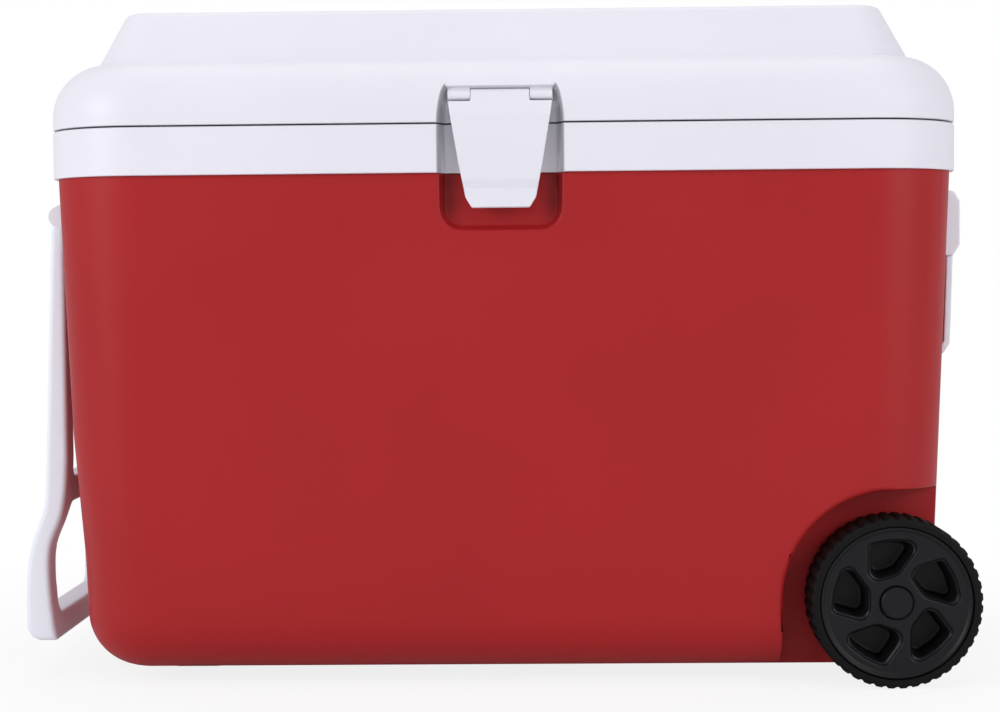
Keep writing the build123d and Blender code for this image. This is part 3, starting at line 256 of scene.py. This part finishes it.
def draw_in(shape):
    """Spreads the step in the end wall over a taller stretch, so that it has no ledge."""
    cuts = [
        ((0, 0, draw_top), (0, 0, 1)),
        ((0, 0, draw_low), (0, 0, 1)),
        ((end_wall_x, 0, 0), (1, 0, 0)),
    ]
    for place, across in cuts:
        bmesh.ops.bisect_plane(
            shape, geom=list(shape.verts) + list(shape.edges) + list(shape.faces),
            dist=0.000001, plane_co=place, plane_no=across,
        )

    # the skin of the end wall and its corners is cut away between the two heights
    band = []
    for face in shape.faces:
        x, y, z = face.calc_center_median()
        radius = corner_radius - (shell_top - z) * tan(draft)
        reach = Vector((corner_x - x, max(abs(y) - corner_y, 0))).length
        if draw_low < z < draw_top and x < end_wall_x and reach > radius - skin_depth:
            band.append(face)
    bmesh.ops.delete(shape, geom=band, context="FACES")

    # and a new skin joins the two rims
    spare = [
        vert for vert in shape.verts
        if vert.is_boundary and draw_low + rim_margin < vert.co.z < draw_top - rim_margin
    ]
    bmesh.ops.dissolve_verts(shape, verts=spare)
    rims = [edge for edge in shape.edges if edge.is_boundary]
    while rims:
        loop = [rims.pop()]
        for edge in loop:
            for other in [*edge.verts[0].link_edges, *edge.verts[1].link_edges]:
                if other in rims:
                    rims.remove(other)
                    loop.append(other)
        level = [
            edge for edge in loop
            if abs(edge.verts[0].co.z - edge.verts[1].co.z) < merge_distance
        ]
        bmesh.ops.bridge_loops(shape, edges=level)


def round_edges(shape, low, high, radius):
    """Rounds the sharp edges that lie inside a box."""
    def inside(vert):
        return all(low[i] <= vert.co[i] <= high[i] for i in range(3))

    edges = [
        edge for edge in shape.edges
        if edge.calc_face_angle(0) > rounded_angle and all(map(inside, edge.verts))
    ]
    bmesh.ops.bevel(
        shape, geom=edges, offset=radius, offset_type="OFFSET", segments=3, profile=0.5,
        affect="EDGES", clamp_overlap=False, material=-1,
    )


def put_in_order(shape):
    """Stores a shape's parts by their places, because a bevel stores them in any order."""
    kinds = (
        (shape.verts, lambda vert: vert.co),
        (shape.edges, lambda edge: edge.verts[0].co + edge.verts[1].co),
        (shape.faces, lambda face: face.calc_center_median()),
    )
    for parts, place in kinds:
        parts.index_update()
        by_place = sorted(parts, key=lambda part: place(part)[:])
        ranks = {part.index: rank for rank, part in enumerate(by_place)}
        parts.sort(key=lambda part: ranks[part.index])


def show(shape, name, body, material):
    """Puts a worked shape in a CAD node's place, smooth apart from its sharp edges."""
    mesh = bpy.data.meshes.new(f"{name}_moulding")
    shape.to_mesh(mesh)
    shape.free()
    mesh.shade_smooth()
    mesh.set_sharp_from_angle(angle=sharp_angle)
    mesh.materials.clear()
    mesh.materials.append(material)
    piece = bpy.data.objects.new(f"{name}_moulding", mesh)
    bpy.context.scene.collection.objects.link(piece)
    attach(piece, body)
    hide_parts(name)
    return piece


def even_shading(piece):
    """Keeps flat faces flat beside rounded edges."""
    even = piece.modifiers.new("even shading", "WEIGHTED_NORMAL")
    even.weight = 100
    even.keep_sharp = True


# the red is painted darker on the scoop's side walls, as painted shade
red = moulded_plastic(
    "red polypropylene", red_colour, shine=0.44, scoop_shade=0.45, spread=0.016, floor_share=1.0
)
dress(red, "outer_shell")

shell = merged("outer_shell")
draw_in(shell)
for box in (scoop_edges, front_arch_edges, rear_arch_edges):
    round_edges(shell, *box)
put_in_order(shell)
even_shading(show(shell, "outer_shell", "tub", red))

# ------------------------------------------------------------------ liner and collar
# The white inner tub turns out over the shell as the collar. It is polypropylene with
# the same satin grain, and shade is painted on its part of the scoop's walls too.

white_colour = (0.745, 0.735, 0.800)

# the white is painted darker on the scoop's side walls, as painted shade
white = moulded_plastic(
    "white polypropylene", white_colour, shine=0.40, grain=0.7, cloud=0.012, scoop_shade=0.55
)
dress(white, "inner_liner")

# ------------------------------------------------------------------ insulation
# Rigid polyurethane foam is blown into the gap between shell and liner, and into the
# lid. It is straw-coloured, with fine closed cells.

foam_colours = ((0.74, 0.66, 0.40), (0.83, 0.78, 0.55))
foam_cells = 700.0  # to the metre


def blown_foam():
    """Rigid foam with fine cells."""
    material, place, shader = start_finish("blown foam")
    cells = place.node("TexVoronoi", {}, {"Vector": place, "Scale": foam_cells})
    feed(shader, "Base Color", blend_colours(cells, *foam_colours))
    feed(shader, "Normal", bump(cells, 0.5, 0.001))
    shader.inputs["Roughness"].default_value = 0.9
    return material


foam = blown_foam()
dress(foam, "shell_foam", "lid_foam")
shell_foam = merged("shell_foam")
draw_in(shell_foam)
even_shading(show(shell_foam, "shell_foam", "tub", foam))

# ------------------------------------------------------------------ lid
# Two white mouldings, the domed cover and the flat inner panel with its plug, are
# welded round the rim. The cover's top panel is sunk a little.

dress(white, "lid_cover", "lid_inner_panel")

# ------------------------------------------------------------------ seals and foot pads
# Soft dark grey thermoplastic rubber: the lid's gasket, the drain's washer and the
# pads under the two feet.

seal_colour = (0.06, 0.06, 0.065)


def soft_rubber(name, colour):
    """Dull rubber with mould bloom and a fine stipple."""
    material, place, shader = start_finish(name)
    bloom = span(noise(place, 40, 4, 0.6), 0.4, 0.7)
    pale = [channel * 1.5 + 0.001 for channel in colour]
    feed(shader, "Base Color", blend_colours(bloom, colour, pale))
    feed(shader, "Roughness", span(bloom, 0.0, 1.0, 0.62, 0.78))
    feed(shader, "Normal", bump(noise(place, 1500, 2), 0.25, 0.0004))
    shader.inputs["Specular IOR Level"].default_value = 0.15
    return material


seal = soft_rubber("grey seal rubber", seal_colour)
dress(seal, "lid_gasket", "drain_gasket", "foot_pads")

# ------------------------------------------------------------------ latch
# One white moulding snaps down over the collar and turns on a steel pin between two
# lugs of the lid. Its lower corners are cut off at a slant.

cut_out, cut_height = 0.0206, 0.3509    # a point on the cut, out from the latch's middle
cut_facing = (0.853, 0.521)             # outwards and down
latch_grid, latch_smoothing = 0.0005, 3


def soften(piece, grid, passes):
    """Rounds every edge: an even skin of small faces, which is then smoothed."""
    skin = piece.modifiers.new("even skin", "REMESH")
    skin.mode = "VOXEL"
    skin.voxel_size = grid
    skin.use_smooth_shade = True
    smooth = piece.modifiers.new("rounded edges", "SMOOTH")
    smooth.factor = 0.5
    smooth.iterations = passes


dress(white, "latch")
latch_shape = merged("latch")
for side in (-1, 1):
    bmesh.ops.bisect_plane(
        latch_shape,
        geom=list(latch_shape.verts) + list(latch_shape.edges) + list(latch_shape.faces),
        dist=merge_distance, clear_outer=True,
        plane_co=(box_middle + side * cut_out, 0, cut_height),
        plane_no=(side * cut_facing[0], 0, -cut_facing[1]),
    )
    open_edges = [edge for edge in latch_shape.edges if edge.is_boundary]
    bmesh.ops.holes_fill(latch_shape, edges=open_edges)
latch = show(latch_shape, "latch", "latch", white)
soften(latch, latch_grid, latch_smoothing)

# ------------------------------------------------------------------ hinges, pins and screws
# The hinges' leaves, every pin and round-headed screw, and the axle with its washers
# and push nuts are stainless steel. The leaves are brushed along their length.

steel_colours = ((0.50, 0.50, 0.52), (0.66, 0.66, 0.67))


def brushed_steel():
    """Stainless steel with fine lines along the box."""
    material, place, shader = start_finish("brushed stainless steel")
    lines = noise(place, 1400, 3, 0.6, stretch=(0.03, 1, 1))
    feed(shader, "Base Color", blend_colours(noise(place, 90, 3), *steel_colours))
    feed(shader, "Roughness", span(lines, 0.3, 0.7, 0.24, 0.42))
    feed(shader, "Normal", bump(lines, 0.15, 0.0002))
    shader.inputs["Metallic"].default_value = 1
    return material


steel = brushed_steel()
dress(
    steel, "hinge_body_leaves", "hinge_lid_leaves", "hinge_pins", "hinge_body_screws",
    "hinge_lid_screws", "latch_pin", "tow_bracket_screws", "tow_pivot_pins",
    "side_bracket_screws", "side_pivot_pins", "wheel_axle", "axle_washers", "axle_push_nuts",
)

# ------------------------------------------------------------------ tow handle
# A long white moulding hangs at the end on two pins, each between the ears of a
# bracket that is screwed into a pocket of the shell.

# painted light: the handles' white is lighter and less red than the liner's, to offset the shade
# and the red light from the tub that fall on them
lightened_handle_colour = (0.790, 0.815, 0.885)
tow_grid, tow_smoothing = 0.0013, 8

lightened_handle_white = moulded_plastic("lightened handle polypropylene", lightened_handle_colour, grain=0.7, cloud=0.012)
dress(lightened_handle_white, "tow_handle", "tow_bracket_front", "tow_bracket_rear")
tow_handle = show(
    merged("tow_handle"), "tow_handle", "tow_handle", lightened_handle_white
)
soften(tow_handle, tow_grid, tow_smoothing)

# ------------------------------------------------------------------ bail
# The short carrying handle at the wheel end turns in two clevis brackets. All three
# are of the handles' white plastic.

bail_grid, bail_smoothing = 0.0006, 4

dress(lightened_handle_white, "side_handle", "side_bracket_front", "side_bracket_rear")
bail = show(
    merged("side_handle"), "side_handle", "side_handle", lightened_handle_white
)
soften(bail, bail_grid, bail_smoothing)

# ------------------------------------------------------------------ drain
# A white flanged tube passes through both walls at the handle end. A nut holds it
# inside, and a plug is pushed into it from outside.

dress(white, "drain_fitting", "drain_nut", "drain_plug")

# ------------------------------------------------------------------ wheels
# Black polypropylene hubs with five swirled pockets turn on the axle, in treads of hard
# rubber. Caps hide the axle's ends, and a black sleeve keeps the foam off the axle.

black_colour = (0.0052, 0.0052, 0.0066)
tread_colour = (0.0026, 0.0026, 0.003)
wheel_x, axle_z = 0.2906, 0.0625

# round the front hub's section: millimetres out from the axle, and along it
hub_profile = [
    (5.2, -144.2), (14.0, -144.2), (14.0, -152.0), (50.0, -152.0), (51.0, -145.6),
    (55.8, -145.6), (55.8, -185.6), (55.1, -186.4), (53.4, -186.4), (52.4, -185.2),
    (51.4, -184.6), (11.9, -184.6), (11.9, -172.0), (5.2, -172.0),
]
hub_steps = 96
hub_grid, hub_smoothing = 0.0008, 3

# round one pocket: millimetres out from the axle, and across
pocket_corners = [
    (45.5, 16.0), (22.0, 18.5), (16.5, 13.0), (19.5, -5.0), (37.0, -21.0), (44.0, -18.0),
    (47.0, -1.0),
]
pocket_count = 5
pocket_start = 25               # degrees
pocket_middle = 32              # millimetres from the axle
plug_start = -0.190             # in front of the hub
shelf_end, pocket_end = -0.1822, -0.160

black = moulded_plastic("black polypropylene", black_colour, shine=0.40, peel=0.8, cloud=0.1)
tread = soft_rubber("hard tread rubber", tread_colour)
dress(
    black, "wheel_front_hub", "wheel_rear_hub", "wheel_front_cap", "wheel_rear_cap",
    "axle_sleeve",
)
dress(tread, "wheel_front_tyre", "wheel_rear_tyre")


def bench_piece(shape, name):
    """A shape as an object that only the cutting needs."""
    mesh = bpy.data.meshes.new(name)
    shape.to_mesh(mesh)
    shape.free()
    piece = bpy.data.objects.new(name, mesh)
    bpy.context.scene.collection.objects.link(piece)
    return piece


def pocket_plugs(name, end_y, size, taper, corner_round):
    """Plugs that leave the hub's pockets where they are cut away. They narrow inwards."""
    plugs = bmesh.new()
    middle = Vector((pocket_middle, 0))
    for number in range(pocket_count):
        turn = Matrix.Rotation(-radians(pocket_start + 360 / pocket_count * number), 4, "Y")
        outline = []
        for corner in pocket_corners:
            place = middle + (Vector(corner) - middle) * size
            spot = turn @ Vector((place.x, 0, place.y))
            spot = (wheel_x + spot.x / 1000, plug_start, axle_z + spot.z / 1000)
            outline.append(plugs.verts.new(spot))
        plugs.faces.new(outline)
        bmesh.ops.bevel(
            plugs, geom=outline, offset=corner_round, offset_type="OFFSET", segments=5,
            profile=0.5, affect="VERTICES", clamp_overlap=True, material=-1,
        )
        centre = turn @ Vector((pocket_middle / 1000, 0, 0)) + Vector((wheel_x, 0, axle_z))
        start = Vector((centre.x, plug_start, centre.z))
        mouth = min(plugs.faces, key=lambda face: (face.calc_center_median() - start).length)
        drawn = bmesh.ops.extrude_face_region(plugs, geom=[mouth])["geom"]
        end = [item for item in drawn if isinstance(item, bmesh.types.BMVert)]
        bmesh.ops.translate(plugs, verts=end, vec=(0, end_y - plug_start, 0))
        bmesh.ops.scale(
            plugs, verts=end, vec=(taper, 1, taper), space=Matrix.Translation(-centre)
        )
    bmesh.ops.recalc_face_normals(plugs, faces=plugs.faces)
    return bench_piece(plugs, name)


blank = bmesh.new()
ring = [
    blank.verts.new((wheel_x + out / 1000, along / 1000, axle_z)) for out, along in hub_profile
]
edges = [blank.edges.new((ring[i - 1], ring[i])) for i in range(len(ring))]
bmesh.ops.spin(
    blank, geom=ring + edges, cent=(wheel_x, 0, axle_z), axis=(0, 1, 0), angle=2 * pi,
    steps=hub_steps, use_merge=True,
)
bmesh.ops.recalc_face_normals(blank, faces=blank.faces)
hub_blank = bench_piece(blank, "hub_blank")
plugs = [
    pocket_plugs("shallow", shelf_end, size=1.0, taper=0.97, corner_round=0.005),
    pocket_plugs("deep", pocket_end, size=0.9, taper=0.8, corner_round=0.0045),
]
for plug in plugs:
    cut = hub_blank.modifiers.new(plug.name, "BOOLEAN")
    cut.operation = "DIFFERENCE"
    cut.solver = "EXACT"
    cut.object = plug
bpy.context.view_layer.update()
carved = bpy.data.meshes.new_from_object(
    hub_blank.evaluated_get(bpy.context.evaluated_depsgraph_get())
)
for spent in [hub_blank] + plugs:
    bpy.data.objects.remove(spent)
for side in ("front", "rear"):
    hub = bmesh.new()
    hub.from_mesh(carved)
    if side == "rear":
        bmesh.ops.scale(hub, verts=hub.verts, vec=(1, -1, 1))
        bmesh.ops.reverse_faces(hub, faces=hub.faces)
    hub_piece = show(hub, f"wheel_{side}_hub", f"wheel_{side}", black)
    soften(hub_piece, hub_grid, hub_smoothing)

# ------------------------------------------------------------------ studio
# A floor of pale paper that whitens away from the object, a plain pale surround, and
# three soft lamps: a key at the left, a fill at the right and one above.

paper_colours = ((0.86, 0.86, 0.87), (0.89, 0.89, 0.90))
paper_radius = 12
whitening = (0.25, 0.8)         # metres from the middle of the floor,
whitened = (0.84, 1.0)          # and the share of plain white there
shade_colour = (0.50, 0.50, 0.515)
glossy_share = 0.25

# place, target, width in metres and power in watts
lamps = {
    "key": ((-1.9, -1.5, 1.05), (0, 0, 0.3), 1.0, 25),
    "fill": ((1.8, -1.6, 1.0), (0, 0, 0.25), 1.2, 19),
    "top": ((0, 0.3, 2.2), (0, 0, 0.3), 1.6, 12.5),
}


def paper():
    """Matt paper that is seen whiter away from the object."""
    material, place, shader = start_finish("white paper")
    tree = material.node_tree
    feed(shader, "Base Color", blend_colours(noise(place, 30, 3), *paper_colours))
    shader.inputs["Roughness"].default_value = 0.9
    distance = place.node("VectorMath", {"operation": "LENGTH"}, {0: place}, output=1)
    rays = tree.nodes.new("ShaderNodeLightPath")
    seen = Value(tree, rays.outputs["Is Camera Ray"])
    white_light = place.node("Emission", {}, {"Color": (1, 1, 1, 1), "Strength": 1.0})
    mixed = place.node(
        "MixShader",
        {},
        {
            0: span(distance, *whitening, *whitened) * seen,
            1: Value(tree, shader.outputs[0]),
            2: white_light,
        },
    )
    tree.links.new(mixed.socket, tree.nodes["Material Output"].inputs["Surface"])
    return material


floor_shape = bmesh.new()
bmesh.ops.create_circle(floor_shape, cap_ends=True, radius=paper_radius, segments=64)
floor_mesh = bpy.data.meshes.new("floor")
floor_shape.to_mesh(floor_mesh)
floor_shape.free()
floor_mesh.materials.append(paper())
floor = bpy.data.objects.new("floor", floor_mesh)
bpy.context.scene.collection.objects.link(floor)

surround = bpy.data.worlds.new("surround")
bpy.context.scene.world = surround
surround.use_nodes = True
sky = surround.node_tree
rays = sky.nodes.new("ShaderNodeLightPath")
seen = Value(sky, rays.outputs["Is Camera Ray"])
glossy = Value(sky, rays.outputs["Is Glossy Ray"])
through = Value(sky, rays.outputs["Is Transmission Ray"])
shown = seen.node(
    "Math",
    {"operation": "ADD", "use_clamp": True},
    {0: seen + glossy * glossy_share, 1: through},
)
shade = blend_colours(shown, shade_colour, (1.0, 1.0, 1.0))
sky.links.new(shade.socket, sky.nodes["Background"].inputs["Color"])
sky.nodes["Background"].inputs["Strength"].default_value = 1.0

for name, (place, target, width, power) in lamps.items():
    light = bpy.data.lights.new(name, "AREA")
    light.shape = "SQUARE"
    light.size = width
    light.energy = power
    lamp = bpy.data.objects.new(name, light)
    lamp.location = place
    lamp.rotation_mode = "QUATERNION"
    lamp.rotation_quaternion = (Vector(target) - Vector(place)).to_track_quat("-Z", "Y")
    bpy.context.scene.collection.objects.link(lamp)
